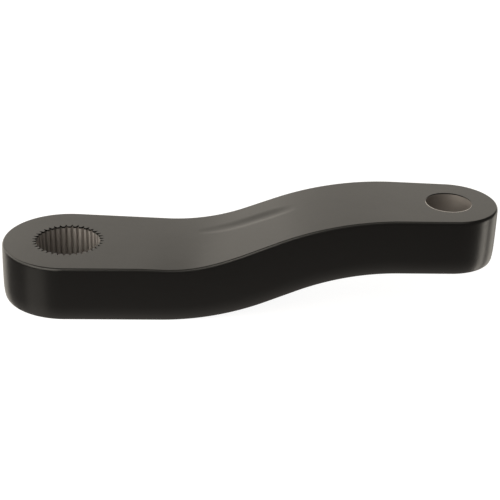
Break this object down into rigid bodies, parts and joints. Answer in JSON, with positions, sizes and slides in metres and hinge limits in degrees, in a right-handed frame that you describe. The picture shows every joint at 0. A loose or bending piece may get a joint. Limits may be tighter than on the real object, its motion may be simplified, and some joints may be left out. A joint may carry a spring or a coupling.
{
  "type": "pitman arm",
  "caption": "Flat forged steering arm that steps up between a big eye with a serrated hole and a small eye with a tapered hole.",
  "frame": {"origin": "on the axis of the serrated hole, in the plane of the big eye's lower face", "axes": "+Z along the serrated hole, towards the side that the small eye steps up to; +X from the big eye to the small eye"},
  "size_m": [0.2604, 0.0694, 0.0575],
  "materials": {
    "black_coat": "satin black coat on forged steel, bare machined steel inside both holes"
  },
  "bodies": {
    "root": {"pitman_arm": "black_coat"}
  },
  "joints": []
}
